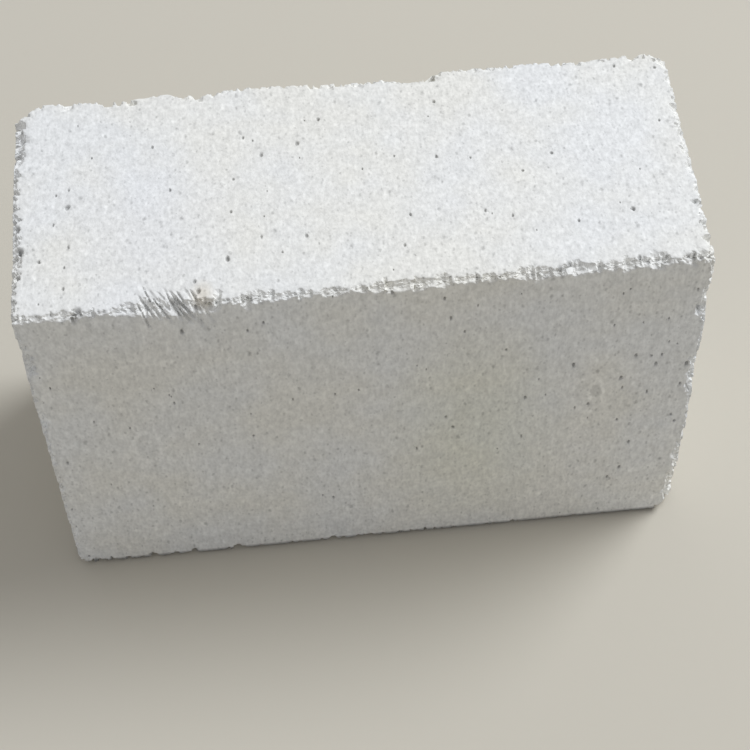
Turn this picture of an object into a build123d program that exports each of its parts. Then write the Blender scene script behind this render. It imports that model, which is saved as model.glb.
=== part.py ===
from build123d import *

import math
import os

# A solid block of autoclaved aerated concrete, cut to size with wires and then handled.
# It stands on a long, narrow bed face. Its six faces are flat, and its edges are worn and chipped.
# The origin is the middle of the bed face, +X runs along the block, +Z is up, and -Y is its front.
# All sizes are in millimetres.

# The cut block
length = 600.0
thickness = 250.0
height = 400.0

# The narrow band that handling rubs off along every edge
worn_edge = 1.6

# Small chips, shelled out all along every edge
chip_pitch = 62.0
chip_span = 22.0
chip_depth = 2.3
chip_end_gap = 26.0

# Corners knocked off
corner_span = 30.0
corner_depth = 5.0

# Larger breaks that show: the edge, the share of the edge's length from its left, front or lower end,
# the break's span along the edge, its depth, and its lean in degrees.
# A lean of 45 bites both faces alike, and a smaller one bites further into the edge's first face.
BREAKS = [
    ("top back", 0.165, 52.0, 4.0, 45.0),
    ("top back", 0.280, 40.0, 5.0, 40.0),
    ("top back", 0.530, 110.0, 6.0, 42.0),
    ("top back", 0.605, 46.0, 11.5, 45.0),
    ("top back", 0.870, 70.0, 4.5, 45.0),
    ("top front", 0.075, 34.0, 4.0, 50.0),
    ("top front", 0.225, 74.0, 6.5, 60.0),
    ("top front", 0.270, 34.0, 5.0, 45.0),
    ("top front", 0.550, 30.0, 6.0, 58.0),
    ("top front", 0.580, 36.0, 5.0, 42.0),
    ("top front", 0.805, 26.0, 6.5, 45.0),
    ("top front", 0.910, 38.0, 4.0, 48.0),
    ("top left", 0.330, 60.0, 4.0, 45.0),
    ("top left", 0.820, 54.0, 7.0, 35.0),
    ("top right", 0.560, 40.0, 3.5, 45.0),
    ("front left", 0.860, 46.0, 5.0, 45.0),
    ("front right", 0.850, 40.0, 6.0, 50.0),
    ("front right", 0.590, 58.0, 5.0, 45.0),
    ("front right", 0.240, 44.0, 5.0, 45.0),
    ("front right", 0.085, 72.0, 9.0, 45.0),
    ("bottom front", 0.560, 18.0, 3.6, 45.0),
]

# The smaller shells that came away beside each larger break, against the break's own values:
# how far off in shares of its span, then the share of its span, the share of its depth, and the added lean.
# Every other break has them mirrored.
BESIDE = [
    (-0.36, 0.52, 0.90, -12.0),
    (0.30, 0.46, 1.00, 10.0),
    (0.50, 0.34, 0.60, -5.0),
]

# Corners that lost more than the rest: the corner as signs along X, Y and Z, then span and depth
BROKEN_CORNERS = [
    ((-1, 1, 1), 62.0, 15.0),
    ((1, 1, 1), 46.0, 10.0),
    ((1, -1, -1), 64.0, 14.0),
    ((-1, -1, -1), 34.0, 6.5),
]

UP, RIGHT, BACK = Vector(0, 0, 1), Vector(1, 0, 0), Vector(0, 1, 0)

# Each edge: the outward normals of its first and second face
EDGES = {
    "top front": (UP, -BACK),
    "top back": (UP, BACK),
    "top left": (UP, -RIGHT),
    "top right": (UP, RIGHT),
    "front left": (-BACK, -RIGHT),
    "front right": (-BACK, RIGHT),
    "back left": (BACK, -RIGHT),
    "back right": (BACK, RIGHT),
    "bottom front": (-UP, -BACK),
    "bottom back": (-UP, BACK),
    "bottom left": (-UP, -RIGHT),
    "bottom right": (-UP, RIGHT),
}


def surface_point(direction):
    """The point of the block's box that lies furthest along each axis of a direction."""
    return Vector(
        direction.X * length / 2,
        direction.Y * thickness / 2,
        height / 2 + direction.Z * height / 2,
    )


def edge_run(first, second):
    """The direction of the edge between two faces, and the edge's length."""
    across = first.cross(second)
    along = Vector(abs(across.X), abs(across.Y), abs(across.Z))
    return along, along.dot(Vector(length, thickness, height))


def shell_cutter(point, outward, along, span, depth):
    """A ball that takes a shell-shaped chip of that span and depth at a point of an edge or corner."""
    radius = (span**2 / 4 + depth**2) / (2 * depth)
    centre = point + outward * (radius - depth)
    return Plane(origin=centre, x_dir=outward, z_dir=along) * Sphere(radius)


def edge_cutter(first, second, share, span, depth, lean):
    """The cutter of one chip on the edge between two faces."""
    along, run = edge_run(first, second)
    point = surface_point(first + second) + along * (run * (share - 0.5))
    angle = math.radians(lean)
    outward = first * math.cos(angle) + second * math.sin(angle)
    return shell_cutter(point, outward, along, span, depth)


def small_chips():
    """Cutters for the small chips of every edge, unevenly spaced, sized and leaned."""
    cutters = []
    for number, (first, second) in enumerate(EDGES.values()):
        run = edge_run(first, second)[1]
        usable = run - 2 * chip_end_gap
        count = max(1, round(usable / chip_pitch))
        for step in range(count):
            stray = math.sin(7.3 * number + 4.1 * step)
            size = 1 + 0.45 * math.sin(2.7 * number + 5.9 * step)
            place = chip_end_gap + usable * (step + 0.5 + 0.3 * stray) / count
            lean = 45 + 14 * math.sin(3.1 * number + 8.3 * step)
            cutters.append(
                edge_cutter(first, second, place / run, chip_span * size, chip_depth * size, lean)
            )
    return cutters


def corner_cutter(signs, span, depth):
    """The cutter of one broken corner."""
    diagonal = Vector(*signs)
    outward = diagonal.normalized()
    along = outward.cross(UP).normalized()
    return shell_cutter(surface_point(diagonal), outward, along, span, depth)


def corners():
    """Cutters for all eight corners."""
    broken = {signs: (span, depth) for signs, span, depth in BROKEN_CORNERS}
    cutters = []
    for x in (-1, 1):
        for y in (-1, 1):
            for z in (-1, 1):
                span, depth = broken.get((x, y, z), (corner_span, corner_depth))
                cutters.append(corner_cutter((x, y, z), span, depth))
    return cutters


def breaks():
    """Cutters for the larger breaks, each a shell with smaller ones beside it."""
    cutters = []
    for number, (edge, share, span, depth, lean) in enumerate(BREAKS):
        first, second = EDGES[edge]
        run = edge_run(first, second)[1]
        side = 1 if number % 2 else -1
        cutters.append(edge_cutter(first, second, share, span, depth, lean))
        for off, span_share, depth_share, added_lean in BESIDE:
            place = share + side * off * span / run
            turned = lean + side * added_lean
            cutters.append(
                edge_cutter(first, second, place, span * span_share, depth * depth_share, turned)
            )
    return cutters


def block():
    """The block, chipped along its edges."""
    sawn = Box(length, thickness, height, align=(Align.CENTER, Align.CENTER, Align.MIN))
    rubbed = chamfer(sawn.edges(), worn_edge)
    return rubbed - (small_chips() + breaks() + corners())


os.makedirs("parts", exist_ok=True)
export_step(block(), "parts/block.step")
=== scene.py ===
import math
import random

import bmesh
import bpy
import numpy as np
from mathutils import Matrix, Vector, noise
from mathutils.bvhtree import BVHTree
from mathutils.kdtree import KDTree


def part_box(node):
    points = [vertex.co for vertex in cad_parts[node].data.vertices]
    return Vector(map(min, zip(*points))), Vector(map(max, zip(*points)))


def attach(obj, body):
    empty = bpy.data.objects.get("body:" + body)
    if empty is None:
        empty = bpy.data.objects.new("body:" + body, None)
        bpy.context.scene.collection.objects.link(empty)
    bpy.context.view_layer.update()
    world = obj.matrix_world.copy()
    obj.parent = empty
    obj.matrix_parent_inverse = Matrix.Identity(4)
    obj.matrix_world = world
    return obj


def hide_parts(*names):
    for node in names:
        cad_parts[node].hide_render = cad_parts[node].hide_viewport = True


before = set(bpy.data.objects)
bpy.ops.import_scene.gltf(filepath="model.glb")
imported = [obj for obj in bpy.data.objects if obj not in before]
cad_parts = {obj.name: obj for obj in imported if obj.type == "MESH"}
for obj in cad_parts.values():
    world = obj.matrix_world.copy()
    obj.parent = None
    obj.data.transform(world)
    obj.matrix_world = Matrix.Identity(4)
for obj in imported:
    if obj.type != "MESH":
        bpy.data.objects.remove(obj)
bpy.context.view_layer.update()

# One block of autoclaved aerated concrete, cut with wires. Its skin is a closed mesh that follows the
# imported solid, with crumbled edges, raked scratches and open pores. Metres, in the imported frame.

low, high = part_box("block")
MM = 0.001

# Corners of the skin that are nearer each other than this are one
SAME_PLACE = 0.01 * MM
# How finely the skin is divided: over the flat faces, along the edges and in chips, and near the bed, which
# is the face that the block stands on
FACE_SPACING = 15 * MM
EDGE_SPACING = 1.45 * MM
BED_SPACING = 1.9 * MM
BED_REACH = 9 * MM
# The fine spacing holds this far from an edge, and further away grows by this share of the distance
FINE_REACH = 4.5 * MM
SPACING_GROWTH = 0.6
# The spacing in a pore is this share of its radius, and holds out to this many radii
PORE_SPACING_SHARE = 0.42
PORE_MARGIN = 1.3
# An edge of the skin is halved when it is this many times as long as the spacing, in so many rounds at most
SPARE_LENGTH = 1.35
MOST_ROUNDS = 12

# Chips of the solid reach no further than this from the block's edges. The skin is divided finely where the
# solid is this far from it, and a crumb counts as in a chip where the solid is this deep.
CHIP_REACH = 48 * MM
CHIP_GAP = 0.2 * MM
CHIP_DEPTH = 0.3 * MM

# Crumbs that come off whole, large to small
CRUMBS = [
    # width of a crumb, how far its middle lies at most from the edge, and from the surface of a chip
    (7.0 * MM, 4.4 * MM, 1.8 * MM),
    (4.6 * MM, 4.7 * MM, 2.6 * MM),
    (3.0 * MM, 4.4 * MM, 2.6 * MM),
]
# Crumbs are slivers that slope across the top and bottom edges and stand upright along the others. They are
# as thin as these shares of their length.
SLOPING_THINNESS = 0.22
UPRIGHT_THINNESS = 0.5
# The outline of a crumb strays by this much, over this size
CRUMB_UNEVENNESS = 1.1 * MM
CRUMB_GRAIN = 3.2 * MM
# The surface goes in by steps, down to a deepest, near the edges and in chips alone. It goes at a slant
# within a reach of the edges.
CRUMB_STEP = 0.5 * MM
CRUMB_DEEPEST = 9 * MM
CRUMBLE_REACH = 9 * MM
SLANT_REACH = 9 * MM
# A crumb's chance comes from noise at its place times this, which is another value for each crumb
CHANCE_SPREAD = 31.7
# Weaker and stronger stretches of the edges: their size, the usual weakness, how much it varies, its least
# and most, and the share of it that is left along the edges that the block stands on
WEAK_STRETCH = 42 * MM
WEAKNESS = 0.45
WEAKNESS_DRIFT = 1.5
WEAKNESS_RANGE = (0.25, 1.3)
BED_WEAKNESS = 0.3

# Where the photograph shows that more has crumbled: pixel, how far around it, and how much weaker
WEAK_SPOTS = [
    ((158, 304), 34 * MM, 1.1),
    ((582, 267), 26 * MM, 1.2),
    ((645, 258), 26 * MM, 1.0),
    ((690, 252), 20 * MM, 0.8),
    ((409, 286), 12 * MM, 0.9),
    ((203, 303), 14 * MM, 1.2),
    ((75, 316), 11 * MM, 0.9),
]

# The surface is fully broken where it has crumbled this deep. In a chip it turns from whole to broken from
# one depth on, over another.
BROKEN_DEPTH = 1.2 * MM
SHELLED_FROM = 0.15 * MM
SHELLED_OVER = 1.5 * MM
# The grit of broken surface: its size, depth and contrast, how broken the surface is where it starts, and
# how broken where it is shaded sharp
GRIT_SIZE = 3.4 * MM
GRIT_DEPTH = 1.2 * MM
GRIT_CONTRAST = 0.9
GRIT_FROM = 0.02
SHARP_FROM = 0.5

# The edges that the block stands on are rubbed up to a height, deepest at the bottom and less by a share of
# what has crumbled already. Painted contact shade darkens them within a reach.
BED_RUB_HEIGHT = 4.5 * MM
BED_RUB_DEPTH = 2.4 * MM
CRUMBLED_SHARE = 2 / 3
CONTACT_SHADE_REACH = 9 * MM

# Wire-cut faces wander a little: how far apart, and how deep
WANDER_SIZE = 70 * MM
WANDER_DEPTH = 0.35 * MM

# Pores and grain are drawn out backwards and upwards, as the cake rose. Along X, Y and Z, these are what
# the patterns' coordinates are multiplied by, and how many times as long an open pore is.
DRAWN = Vector((1.0, 0.72, 0.54))
PORE_DRAW = ((0.75, 1.05), (1.2, 1.7), (1.6, 2.5))

# Open pores: their number, radius, depth as a share of the radius, and unevenness of the rim
PORES_PER_SQUARE_METRE = 240
PORE_RADIUS = (0.8 * MM, 1.8 * MM)
PORE_DEPTH_SHARE = 1.3
PORE_UNEVENNESS = 0.4

# The plainest pores: pixel in the photograph's 750 by 750 frame, and radius
FRAME_PIXELS = 750
SEEN_PORES = [
    ((67, 207), 2.3 * MM),
    ((227, 258), 2.3 * MM),
    ((633, 208), 2.3 * MM),
    ((318, 119), 1.9 * MM),
    ((297, 143), 1.9 * MM),
    ((39, 262), 1.9 * MM),
    ((434, 101), 1.9 * MM),
    ((579, 220), 1.6 * MM),
    ((436, 156), 1.6 * MM),
    ((410, 214), 1.6 * MM),
    ((53, 225), 1.4 * MM),
    ((152, 147), 1.4 * MM),
    ((513, 215), 1.4 * MM),
    ((523, 170), 1.4 * MM),
    ((170, 190), 1.4 * MM),
    ((182, 333), 1.9 * MM),
    ((621, 378), 1.9 * MM),
    ((445, 299), 1.6 * MM),
    ((636, 356), 1.6 * MM),
    ((656, 364), 1.6 * MM),
    ((652, 356), 1.4 * MM),
    ((662, 355), 1.4 * MM),
    ((575, 408), 1.4 * MM),
    ((451, 319), 1.4 * MM),
    ((622, 388), 1.4 * MM),
    ((617, 420), 1.4 * MM),
    ((607, 477), 1.4 * MM),
    ((687, 364), 2.0 * MM),
    ((680, 384), 1.8 * MM),
    ((671, 415), 1.6 * MM),
    ((674, 421), 1.6 * MM),
    ((647, 392), 1.4 * MM),
    # holes beside the left and front top edges
    ((17, 229), 3.0 * MM),
    ((16, 252), 3.4 * MM),
    ((17, 278), 2.6 * MM),
    ((77, 311), 3.4 * MM),
    ((73, 321), 2.6 * MM),
    ((194, 281), 1.9 * MM),
    ((198, 291), 2.3 * MM),
    ((197, 311), 2.3 * MM),
    ((206, 306), 1.9 * MM),
    ((573, 265), 2.8 * MM),
    ((561, 270), 2.4 * MM),
    ((640, 257), 2.0 * MM),
    ((650, 262), 1.8 * MM),
    ((667, 256), 1.7 * MM),
    ((692, 256), 2.2 * MM),
]

# Marks on the surface, by their pixel in the photograph: tints that fade out with distance, and faint rings
TINTS = [
    # middle, reach, colour and strength: a light rusty stain by the front top edge, then broad tints of the
    # white towards olive and blue
    ((202, 293), 12 * MM, "#d5c8b0", 0.45),
    ((475, 430), 95 * MM, "#dadac6", 0.4),
    ((150, 235), 85 * MM, "#dfe2ea", 0.35),
]
RINGS = [
    # middle, radius, shade within, shade of the rim
    ((588, 394), 15.5 * MM, 0.97, 1.04),
    ((596, 391), 8.0 * MM, 0.87, 1.09),
    ((148, 447), 13.5 * MM, 0.97, 1.08),
]
RING_WIDTH = 3.6 * MM

# Raked scratches over the front top edge, from the top face down the front. Their starts, across and down,
# and their lengths are in pixels of the photograph.
SCRATCH_COUNT = 28
SCRATCH_STARTS = ((136, 200), (284, 306))
SCRATCH_SLOPE = (math.radians(45), math.radians(64))
SCRATCH_LENGTH = (10, 38)
# Half the width of a scratch, its depth where the surface is whole, and the most that it takes off
SCRATCH_WIDTH = (0.9 * MM, 1.9 * MM)
SCRATCH_GROOVE = (0.8 * MM, 2.0 * MM)
SCRATCH_DEEPEST = 3.2 * MM
# How steeply it comes and goes at its ends, and how far from its straight line it finds surface to cut
SCRATCH_TAPER = 6
SCRATCH_REACH = 18 * MM

# The same pores, scratches and crumbs in every run
random.seed(11)
noise.seed_set(11)


def linear(hex_colour):
    """An sRGB hex colour as linear RGBA."""
    channels = [int(hex_colour[i:i + 2], 16) / 255 for i in (1, 3, 5)]
    return (*[c / 12.92 if c <= 0.04045 else ((c + 0.055) / 1.055) ** 2.4 for c in channels], 1.0)


def add(tree, kind, inputs=(), out=None, **settings):
    """Adds a node with its settings, and returns it or its named output.

    The inputs are a dictionary by name, or a list in the node's own order. Each is a value, or an output
    to link.
    """
    made = tree.nodes.new("ShaderNode" + kind)
    for name, value in settings.items():
        setattr(made, name, value)
    named = inputs if isinstance(inputs, dict) else dict(enumerate(inputs))
    for name, value in named.items():
        if isinstance(value, bpy.types.NodeSocket):
            tree.links.new(value, made.inputs[name])
        else:
            made.inputs[name].default_value = value
    return made.outputs[out] if out else made


# Camera, at the photograph's viewing angle

CAMERA_PLACE = Vector((-0.0586, -1.1388, 1.6644))
CAMERA_AIM = Vector((0.0079, -0.0696, 0.2))
CAMERA_ROLL = math.radians(2.45)
CAMERA_LENS_MM = 92.2
CAMERA_SENSOR_MM = 36


def make_camera():
    forward = (CAMERA_AIM - CAMERA_PLACE).normalized()
    level = forward.cross(Vector((0, 0, 1))).normalized()
    right = Matrix.Rotation(CAMERA_ROLL, 3, forward) @ level
    up = right.cross(forward)
    data = bpy.data.cameras.new("camera")
    data.lens = CAMERA_LENS_MM
    data.sensor_width = CAMERA_SENSOR_MM
    camera = bpy.data.objects.new("camera", data)
    turn = Matrix((right, up, -forward)).transposed().to_4x4()
    camera.matrix_world = Matrix.Translation(CAMERA_PLACE) @ turn
    bpy.context.scene.collection.objects.link(camera)
    bpy.context.scene.camera = camera


# The block's skin


def chipped_solid():
    """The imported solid, to measure against."""
    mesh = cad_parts["block"].data
    corners = [v.co.copy() for v in mesh.vertices]
    return BVHTree.FromPolygons(corners, [tuple(p.vertices) for p in mesh.polygons])


def plain_skin():
    """A closed skin of even triangles on the block's six flat sides."""
    skin = bmesh.new()
    half = (high - low) / 2
    centre = (high + low) / 2
    for normal in range(3):
        across, along = (normal + 1) % 3, (normal + 2) % 3
        for side in (-1, 1):
            place = Matrix.Translation(centre).to_4x4()
            for column, axis in enumerate((across, along, normal)):
                place.col[column] = (0, 0, 0, 0)
                place[axis][column] = half[axis]
            place[normal][3] += side * half[normal]
            bmesh.ops.create_grid(
                skin,
                x_segments=round(2 * half[across] / FACE_SPACING),
                y_segments=round(2 * half[along] / FACE_SPACING),
                size=1,
                matrix=place,
            )
    bmesh.ops.remove_doubles(skin, verts=skin.verts, dist=SAME_PLACE)
    bmesh.ops.triangulate(skin, faces=skin.faces)
    bmesh.ops.recalc_face_normals(skin, faces=skin.faces)
    return skin


# The six flat sides are numbered as the columns of depths() and the rows of INWARD, their inward directions
LEFT, FRONT, BOTTOM, RIGHT, BACK, TOP = range(6)
WALLS = (LEFT, FRONT, RIGHT, BACK)
INWARD = np.vstack([np.eye(3), -np.eye(3)])


def depths(points):
    """How far each point lies inside each of the six flat sides."""
    return np.hstack([points - np.array(low), np.array(high) - points])


def edge_distance(points):
    """How far each point on a flat side lies from the nearest edge of the block."""
    return np.sort(depths(points), axis=1)[:, 1]


def seen_at(pixel):
    """The point of the block's top or front that the camera sees at a pixel of the photograph."""
    camera = bpy.context.scene.camera
    across = (pixel[0] / FRAME_PIXELS - 0.5) * camera.data.sensor_width / camera.data.lens
    up = (0.5 - pixel[1] / FRAME_PIXELS) * camera.data.sensor_width / camera.data.lens
    ray = camera.matrix_world.to_3x3() @ Vector((across, up, -1))
    top = CAMERA_PLACE + ray * ((high.z - CAMERA_PLACE.z) / ray.z)
    if top.y > low.y:
        return top
    return CAMERA_PLACE + ray * ((low.y - CAMERA_PLACE.y) / ray.y)


def scatter_pores():
    """The pores that the photograph shows, and others at random places on all six sides: centre, radius."""
    pores = [(seen_at(pixel), radius) for pixel, radius in SEEN_PORES]
    least, most = PORE_RADIUS
    size = high - low
    for normal in range(3):
        across, along = (normal + 1) % 3, (normal + 2) % 3
        for side in (low, high):
            for _ in range(round(PORES_PER_SQUARE_METRE * size[across] * size[along])):
                centre = Vector((0, 0, 0))
                centre[normal] = side[normal]
                centre[across] = random.uniform(low[across], high[across])
                centre[along] = random.uniform(low[along], high[along])
                pores.append((centre, least + (most - least) * random.random() ** 2))
    return pores


def refine(skin, solid, spots):
    """Divides the skin where edges crumble, where the solid is chipped and around spots: centre, radius."""
    for _ in range(MOST_ROUNDS):
        edges = list(skin.edges)
        ends = np.array([(*e.verts[0].co, *e.verts[1].co) for e in edges])
        middles = (ends[:, :3] + ends[:, 3:]) / 2
        lengths = np.linalg.norm(ends[:, :3] - ends[:, 3:], axis=1)
        finest = np.where(middles[:, 2] < low.z + BED_REACH, BED_SPACING, EDGE_SPACING)
        away = edge_distance(middles)
        sliver = crumb_edge_distance(middles)
        wanted = finest + SPACING_GROWTH * np.clip(np.minimum(away, sliver) - FINE_REACH, 0, None)
        for n in np.nonzero((wanted > finest) & (away < CHIP_REACH) & (lengths > finest))[0]:
            if solid.find_nearest(Vector(middles[n]))[3] > CHIP_GAP:
                wanted[n] = finest[n]
        tree = KDTree(len(edges))
        for number, middle in enumerate(middles):
            tree.insert(middle, number)
        tree.balance()
        for centre, radius in spots:
            for _, n, gap in tree.find_range(centre, radius + FACE_SPACING):
                beyond = max(0.0, gap - PORE_MARGIN * radius)
                wanted[n] = min(wanted[n], radius * PORE_SPACING_SHARE + beyond)
        long = [edges[n] for n in np.nonzero(lengths > wanted * SPARE_LENGTH)[0]]
        if not long:
            break
        bmesh.ops.subdivide_edges(skin, edges=long, cuts=1)
        bmesh.ops.triangulate(skin, faces=[f for f in skin.faces if len(f.verts) > 3])


def settle_on_solid(points, solid):
    """Moves the points near the block's edges onto the chipped solid."""
    moved = points.copy()
    for n in np.nonzero(edge_distance(points) < CHIP_REACH)[0]:
        moved[n] = solid.find_nearest(Vector(points[n]))[0]
    return moved


def smooth_noise(points, size, octaves, offset):
    """Soft noise from about -1 to 1 with features of that size. Each use has an offset of its own."""
    shift = Vector(offset)
    return np.array([noise.fractal(Vector(p) / size + shift, 1.0, 2.0, octaves) for p in points])


def crumb_edge_distance(points):
    """How far each point lies inside the nearest edge, measured across the slivers that crumble off it."""
    inside = depths(points)
    walls = np.sort(inside[:, WALLS], axis=1)
    upright = np.clip(walls, 0, None)[:, :2].sum(axis=1)
    sloping = (walls[:, 0] + inside[:, (BOTTOM, TOP)].min(axis=1)) / math.sqrt(2)
    return np.minimum(upright, sloping)


def crumb_squeeze(one, other):
    """The matrix that makes round the slivers that come off the edge between two sides."""
    if one in WALLS and other in WALLS:
        return Matrix.Diagonal((1, 1, UPRIGHT_THINNESS))
    sloping = (INWARD[one] - INWARD[other]) / math.sqrt(2)
    return Matrix(np.eye(3) - (1 - SLOPING_THINNESS) * np.outer(sloping, sloping))


def weakness(place, weak_spots):
    """How weak the edges are near a place."""
    least, most = WEAKNESS_RANGE
    weak = WEAKNESS + WEAKNESS_DRIFT * smooth_noise([place], WEAK_STRETCH, 2, (1.3, 6.2, 3.9))[0]
    weak = min(max(weak, least), most)
    for spot, reach, weaker in weak_spots:
        weak += weaker * max(0.0, 1 - (place - spot).length / reach)
    return weak * BED_WEAKNESS if place.z < low.z + CRUMBLE_REACH else weak


def comes_off(middle, chance, from_edge, from_chip, solid, weak_spots):
    """Whether the crumb with that middle comes off an edge, or out of a chip of the solid."""
    if crumb_edge_distance(np.array([middle]))[0] < from_edge * chance * weakness(middle, weak_spots):
        return True
    surface = solid.find_nearest(middle)[0]
    in_a_chip = depths(np.array([surface])).min() >= CHIP_DEPTH
    return in_a_chip and (surface - middle).length < from_chip * chance


def crumble_edges(points, solid):
    """Breaks crumbs off every edge and chip. Returns the points, and how broken the surface is at each."""
    inside = depths(points)
    depth = inside.min(axis=1)
    slant = np.clip(1 - (inside - depth[:, None]) / SLANT_REACH, 0, 1) @ INWARD
    shelled = np.clip((depth - SHELLED_FROM) / SHELLED_OVER, 0, 1)
    nearest = np.sort(np.argsort(inside, axis=1)[:, :2], axis=1)
    pairs = [tuple(pair) for pair in nearest.tolist()]
    squeezes = {pair: crumb_squeeze(*pair) for pair in set(pairs)}
    weak_spots = [(seen_at(pixel), reach, weaker) for pixel, reach, weaker in WEAK_SPOTS]
    known = {}

    def has_crumbled(point, pair):
        stray = CRUMB_UNEVENNESS * noise.noise_vector(Vector(point) / CRUMB_GRAIN)
        uneven = squeezes[pair] @ (Vector(point) + stray)
        for size, from_edge, from_chip in CRUMBS:
            crumb = noise.voronoi(uneven / size)[1][0]
            key = (pair, size, *[round(coordinate, 3) for coordinate in crumb])
            if key not in known:
                middle = squeezes[pair].inverted() @ (crumb * size)
                chance = 0.5 + 0.5 * noise.cell(crumb * CHANCE_SPREAD)
                known[key] = comes_off(middle, chance, from_edge, from_chip, solid, weak_spots)
            if known[key]:
                return True
        return False

    moved = points.copy()
    gone = np.zeros(len(points))
    for n in np.nonzero((crumb_edge_distance(points) < CRUMBLE_REACH) | (shelled > 0))[0]:
        while gone[n] < CRUMB_DEEPEST and has_crumbled(moved[n], pairs[n]):
            gone[n] += CRUMB_STEP
            moved[n] = points[n] + slant[n] * gone[n]
    broken = np.maximum(shelled, np.clip(gone / BROKEN_DEPTH, 0, 1))
    rough = np.nonzero(broken > GRIT_FROM)[0]
    grit = 0.5 + GRIT_CONTRAST * smooth_noise(points[rough], GRIT_SIZE, 3, (2.2, 9.1, 4.4))
    moved[rough] += slant[rough] * (GRIT_DEPTH * np.clip(grit, 0, 1) * broken[rough])[:, None]
    return moved, broken


def rub_bed_edges(points):
    """Rubs the edges that the block stands on. Returns the points, and how much painted contact shade each
    gets, from 0 to 1.
    """
    inside = depths(points)
    height = inside[:, BOTTOM]
    wanted = BED_RUB_DEPTH * np.clip(1 - height / BED_RUB_HEIGHT, 0, 1) ** 2
    moved = points.copy()
    for wall in WALLS:
        rubbed = np.clip(wanted - inside[:, wall] * CRUMBLED_SHARE, 0, None)
        moved += INWARD[wall] * rubbed[:, None]
    away = np.hypot(height, inside[:, WALLS].min(axis=1))
    return moved, np.clip(1 - away / CONTACT_SHADE_REACH, 0, 1)


def scratch_paths():
    """The scratches: half width, depth, and points along each, on the top face or the front."""
    paths = []
    for _ in range(SCRATCH_COUNT):
        column, row = [random.uniform(*ends) for ends in SCRATCH_STARTS]
        slope = random.uniform(*SCRATCH_SLOPE)
        length = random.uniform(*SCRATCH_LENGTH)
        places = []
        for share in (0, 0.25, 0.5, 0.75, 1):
            reached = length * share
            places.append(seen_at((column + reached * math.cos(slope), row + reached * math.sin(slope))))
        paths.append((random.uniform(*SCRATCH_WIDTH), random.uniform(*SCRATCH_GROOVE), places))
    return paths


def rake_scratches(points, paths):
    """Rakes the scratches over the front top edge. Each runs straight from its start to its end."""
    moved = points.copy()
    for half_width, groove, places in paths:
        run = places[-1] - places[0]
        along = run.normalized()
        inward = Vector(INWARD[FRONT] + INWARD[TOP])
        inward = (inward - along * inward.dot(along)).normalized()
        rest = moved - np.array(places[0])
        share = rest @ np.array(along) / run.length
        beside = rest @ np.array(along.cross(inward))
        below = rest @ np.array(inward)
        taper = np.clip(SCRATCH_TAPER * share * (1 - share), 0, 1)
        profile = np.clip(1 - (beside / half_width) ** 2, 0, 1)
        cut = np.clip(groove * taper - below, 0, SCRATCH_DEEPEST * taper) * profile
        cut[np.abs(below) > SCRATCH_REACH] = 0
        moved += np.array(inward) * cut[:, None]
    return moved


def press_pores(points, pores):
    """Opens the pores. Returns the points, and how deep in a pore each lies, from 0 to 1."""
    tree = KDTree(len(points))
    for number, point in enumerate(points):
        tree.insert(point, number)
    tree.balance()
    deep = np.zeros(len(points))
    moved = points.copy()
    side = np.argmin(depths(points), axis=1)
    most_radii = PORE_DRAW[2][1] * (1 + PORE_UNEVENNESS)
    for mouth, radius in pores:
        centre = tree.find(mouth)[0]
        stretch = [random.uniform(*draw) for draw in PORE_DRAW]
        for _, n, _ in tree.find_range(centre, most_radii * radius):
            offset = Vector(points[n]) - centre
            away = Vector([offset[i] / stretch[i] for i in range(3)]).length / radius
            away *= 1 + PORE_UNEVENNESS * noise.noise(Vector(points[n]) / radius)
            if away < 1:
                depth = 1 - away * away
                if depth > deep[n]:
                    moved[n] = points[n] + INWARD[side[n]] * radius * PORE_DEPTH_SHARE * depth
                    deep[n] = depth
    return moved, deep


def wander(points):
    """Lets the flat faces wander inward as a cutting wire does."""
    inside = depths(points)
    side = np.argmin(inside, axis=1)
    amount = 0.5 + 0.5 * smooth_noise(points, WANDER_SIZE, 2, (5.5, 0.4, 8.8))
    return points + INWARD[side] * (WANDER_DEPTH * np.clip(amount, 0, 1))[:, None]


def make_block():
    skin = plain_skin()
    solid = chipped_solid()
    pores = scatter_pores()
    paths = scratch_paths()
    scratched = [(place, 2 * half_width) for half_width, _, places in paths for place in places]
    refine(skin, solid, pores + scratched)
    mesh = bpy.data.meshes.new("aerated_concrete_block")
    skin.to_mesh(mesh)
    skin.free()
    points = np.empty(len(mesh.vertices) * 3)
    mesh.vertices.foreach_get("co", points)
    points = settle_on_solid(points.reshape(-1, 3), solid)
    points, broken = crumble_edges(points, solid)
    points = rake_scratches(points, paths)
    points, deep = press_pores(points, pores)
    points = wander(points)
    # The bed edges are rubbed, with a mask for the painted contact shade along them
    points, painted_contact_shade = rub_bed_edges(points)
    points = np.clip(points, np.array(low), np.array(high))
    mesh.vertices.foreach_set("co", points.ravel())
    # The pore mask, how deep in a pore each point lies, carries the painted shade of the open pores
    for name, values in (("broken", broken), ("pore", deep), ("painted_contact_shade", painted_contact_shade)):
        kept = mesh.attributes.new(name, "FLOAT", "POINT")
        kept.data.foreach_set("value", values.astype(np.float32))
    # Broken surface is sharp-grained, so it is shaded flat
    smooth = [bool(broken[list(p.vertices)].max() < SHARP_FROM) for p in mesh.polygons]
    mesh.polygons.foreach_set("use_smooth", smooth)
    mesh.update()
    block = bpy.data.objects.new("aerated_concrete_block", mesh)
    bpy.context.scene.collection.objects.link(block)
    return block


# Materials. The inputs of a Map Range are a value, the range it comes in and the range it goes to.


def per(size):
    """The scale of a pattern whose features are that many metres across."""
    return 1 / size


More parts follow.
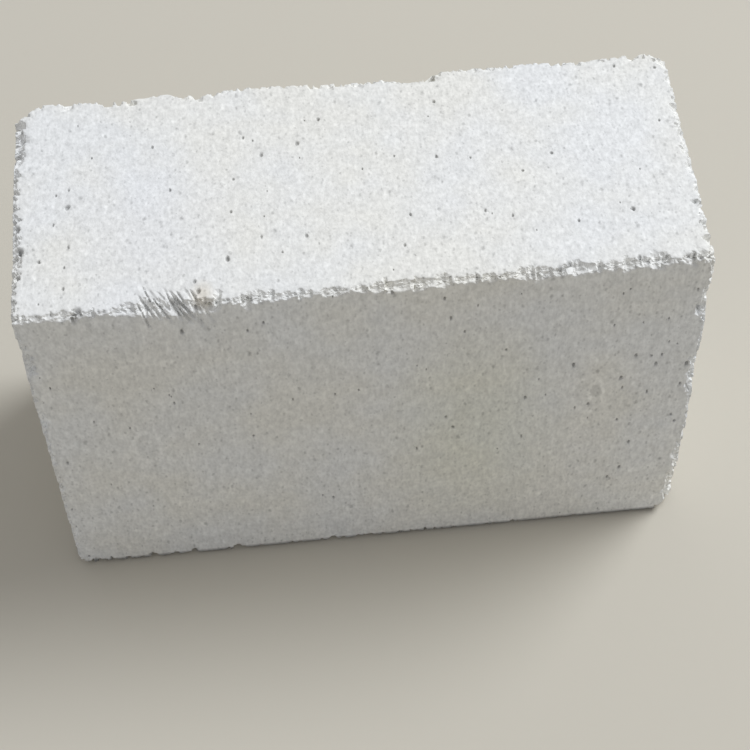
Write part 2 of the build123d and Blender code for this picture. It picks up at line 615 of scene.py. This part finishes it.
def wire_cut_aerated_concrete():
    """Autoclaved aerated concrete, cut with wires: matt, near-white and sandy, with small pores darkened by
    painted shade.
    """
    material = bpy.data.materials.new("wire_cut_aerated_concrete")
    material.use_nodes = True
    tree = material.node_tree
    tree.nodes.clear()
    place = add(tree, "TexCoord", out="Object")
    drawn = add(tree, "VectorMath", [place, DRAWN], "Vector", operation="MULTIPLY")

    # Cool and warm white drift into each other over the face
    drift = add(tree, "TexNoise", {"Vector": place, "Scale": per(120 * MM), "Detail": 3.0}, "Fac")
    drift = add(tree, "MapRange", [drift, 0.38, 0.62, 0, 1], "Result")
    whites = {"Factor": drift, "A": linear("#e3e4e4"), "B": linear("#e4e3de")}
    colour = add(tree, "Mix", whites, "Result", data_type="RGBA")

    # Uneven outlines for what lies on the surface: they stray either way by this
    stray = 1.4 * MM
    uneven = add(tree, "TexNoise", {"Vector": place, "Scale": per(3 * MM), "Detail": 2.0}, "Color")
    uneven = add(tree, "VectorMath", {0: uneven, "Scale": 2 * stray}, "Vector", operation="SCALE")
    uneven = add(tree, "VectorMath", [drawn, uneven], "Vector", operation="ADD")
    uneven = add(tree, "VectorMath", [uneven, [stray] * 3], "Vector", operation="SUBTRACT")

    # Tints, from a light rusty stain to broad drifts of olive and blue
    for pixel, reach, tint, strength in TINTS:
        middle = seen_at(pixel) * DRAWN
        away = add(tree, "VectorMath", [uneven, middle], "Value", operation="DISTANCE")
        tinted = add(tree, "MapRange", [away, 0.2 * reach, reach, strength, 0], "Result")
        mixed = {"Factor": tinted, "A": colour, "B": linear(tint)}
        colour = add(tree, "Mix", mixed, "Result", data_type="RGBA")

    # Sandy grain, drawn at 2.7 mm, coarser than the real sand, so that it shows
    grain = add(tree, "TexNoise", {"Vector": drawn, "Scale": per(2.7 * MM), "Detail": 3.0}, "Fac")
    shades = [add(tree, "MapRange", [grain, 0.34, 0.66, 0.91, 1.055], "Result")]

    # Painted shade of small pores in three sizes, and paler lumps of binder
    spots = (
        # how far apart, the largest radius, and the shade in the middle
        (8.0 * MM, 2.1 * MM, 0.66),
        (5.0 * MM, 1.6 * MM, 0.76),
        (3.4 * MM, 1.4 * MM, 0.84),
        (9.0 * MM, 2.8 * MM, 1.12),
    )
    for apart, radius, painted_pore_shade_and_lump_tone in spots:
        cells = add(tree, "TexVoronoi", {"Vector": uneven, "Scale": per(apart)})
        chance = add(tree, "SeparateColor", {"Color": cells.outputs["Color"]}, "Red")
        rim = add(tree, "MapRange", [chance, 0.3, 1, 0.01, radius / apart], "Result")
        away = add(tree, "Math", [cells.outputs["Distance"], rim], "Value", operation="DIVIDE")
        shades.append(add(tree, "MapRange", [away, 0.2, 1.2, painted_pore_shade_and_lump_tone, 1], "Result"))
    largest_pores = shades[1]

    # Soft blotches
    blotches = add(tree, "TexNoise", {"Vector": drawn, "Scale": per(5.5 * MM), "Detail": 1.0}, "Fac")
    shades.append(add(tree, "MapRange", [blotches, 0.3, 0.7, 0.94, 1.06], "Result"))

    # Faint streaks of the cutting wires down the sides and back over the top, drawn at 3.2 mm to show
    along_wires = (1.0, 0.25, 0.2)
    streaks = add(tree, "VectorMath", [place, along_wires], "Vector", operation="MULTIPLY")
    streaks = add(tree, "TexNoise", {"Vector": streaks, "Scale": per(3.2 * MM), "Detail": 2.0}, "Fac")
    shades.append(add(tree, "MapRange", [streaks, 0.35, 0.65, 0.965, 1.035], "Result"))

    # Painted shade in the open pores, darkest at their bottoms
    pore = add(tree, "Attribute", out="Fac", attribute_name="pore")
    shades.append(add(tree, "MapRange", [pore, 0, 0.7, 1, 0.58], "Result"))

    # Broken surface is paler, partly as fresh surface and partly as painted light on its shaded notches,
    # less so under dust
    broken = add(tree, "Attribute", out="Fac", attribute_name="broken")
    dust = add(tree, "TexNoise", {"Vector": drawn, "Scale": per(6 * MM), "Detail": 2.0}, "Fac")
    fresh_and_painted_light = add(tree, "MapRange", [dust, 0.4, 0.6, 0.16, 0.02], "Result")
    fresh_and_painted_light = add(tree, "Math", [fresh_and_painted_light, broken], "Value", operation="MULTIPLY")
    shades.append(add(tree, "Math", [1.0, fresh_and_painted_light], "Value", operation="ADD"))

    # Painted contact shade along the edges that the block stands on, darkest where they meet the floor
    painted_contact_shade = add(tree, "Attribute", out="Fac", attribute_name="painted_contact_shade")
    shades.append(add(tree, "MapRange", [painted_contact_shade, 0.1, 0.6, 1, 0.36], "Result"))

    # Faint rings, each a slightly darker disc in a paler rim
    for pixel, radius, disc, rim in RINGS:
        middle = seen_at(pixel) * DRAWN
        away = add(tree, "VectorMath", [uneven, middle], "Value", operation="DISTANCE")
        within = [away, radius - RING_WIDTH, radius - RING_WIDTH / 2, disc, rim]
        beyond = [away, radius, radius + RING_WIDTH / 2, 1, 1 / rim]
        shades.append(add(tree, "MapRange", within, "Result"))
        shades.append(add(tree, "MapRange", beyond, "Result"))

    shade = shades[0]
    for other in shades[1:]:
        shade = add(tree, "Math", [shade, other], "Value", operation="MULTIPLY")
    colour = add(tree, "VectorMath", {0: colour, "Scale": shade}, "Vector", operation="SCALE")

    # Sand in relief, drawn at 1.5 mm to show, with the largest of the small pores
    sand = add(tree, "TexNoise", {"Vector": place, "Scale": per(1.5 * MM), "Detail": 2.0}, "Fac")
    relief = add(tree, "Math", [sand, largest_pores], "Value", operation="MULTIPLY")
    relief = add(tree, "Bump", {"Height": relief, "Strength": 0.5, "Distance": 0.6 * MM}, "Normal")

    matt = {
        "Base Color": colour,
        "Roughness": 0.95,
        "IOR": 1.5,
        "Specular IOR Level": 0.2,
        "Normal": relief,
    }
    surface = add(tree, "BsdfPrincipled", matt, "BSDF")
    add(tree, "OutputMaterial", {"Surface": surface})
    return material


def pale_screed():
    """Cement screed, floated smooth: a plain, pale, matt floor."""
    material = bpy.data.materials.new("pale_screed")
    material.use_nodes = True
    surface = material.node_tree.nodes["Principled BSDF"]
    surface.inputs["Base Color"].default_value = linear("#c6c1b5")
    surface.inputs["Roughness"].default_value = 0.9
    return material


FLOOR_SIZE = 30


def make_floor():
    bpy.ops.mesh.primitive_plane_add(size=FLOOR_SIZE)
    floor = bpy.context.object
    floor.name = "floor"
    floor.data.materials.append(pale_screed())


# Light: an even sky, and a large lamp high on the right and a little behind, with the front in soft shade

SKY_STRENGTH = 0.46
LAMP_PLACE = Vector((4.7, 1.9, 7.6))
LAMP_AIM = Vector((0, 0, 0.2))
LAMP_SIZE = 4.4
LAMP_WATTS = 608


def make_light():
    world = bpy.data.worlds.new("sky")
    bpy.context.scene.world = world
    world.use_nodes = True
    background = world.node_tree.nodes["Background"]
    background.inputs["Color"].default_value = linear("#fcfcfd")
    background.inputs["Strength"].default_value = SKY_STRENGTH
    data = bpy.data.lights.new("soft_lamp", "AREA")
    data.shape = "DISK"
    data.size = LAMP_SIZE
    data.energy = LAMP_WATTS
    data.color = linear("#f8fbff")[:3]
    lamp = bpy.data.objects.new("soft_lamp", data)
    lamp.location = LAMP_PLACE
    lamp.rotation_euler = (LAMP_AIM - LAMP_PLACE).to_track_quat("-Z", "Y").to_euler()
    bpy.context.scene.collection.objects.link(lamp)


make_camera()
block = make_block()
block.data.materials.append(wire_cut_aerated_concrete())
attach(block, "root")
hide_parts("block")
make_floor()
make_light()
bpy.context.scene.view_settings.view_transform = "Standard"
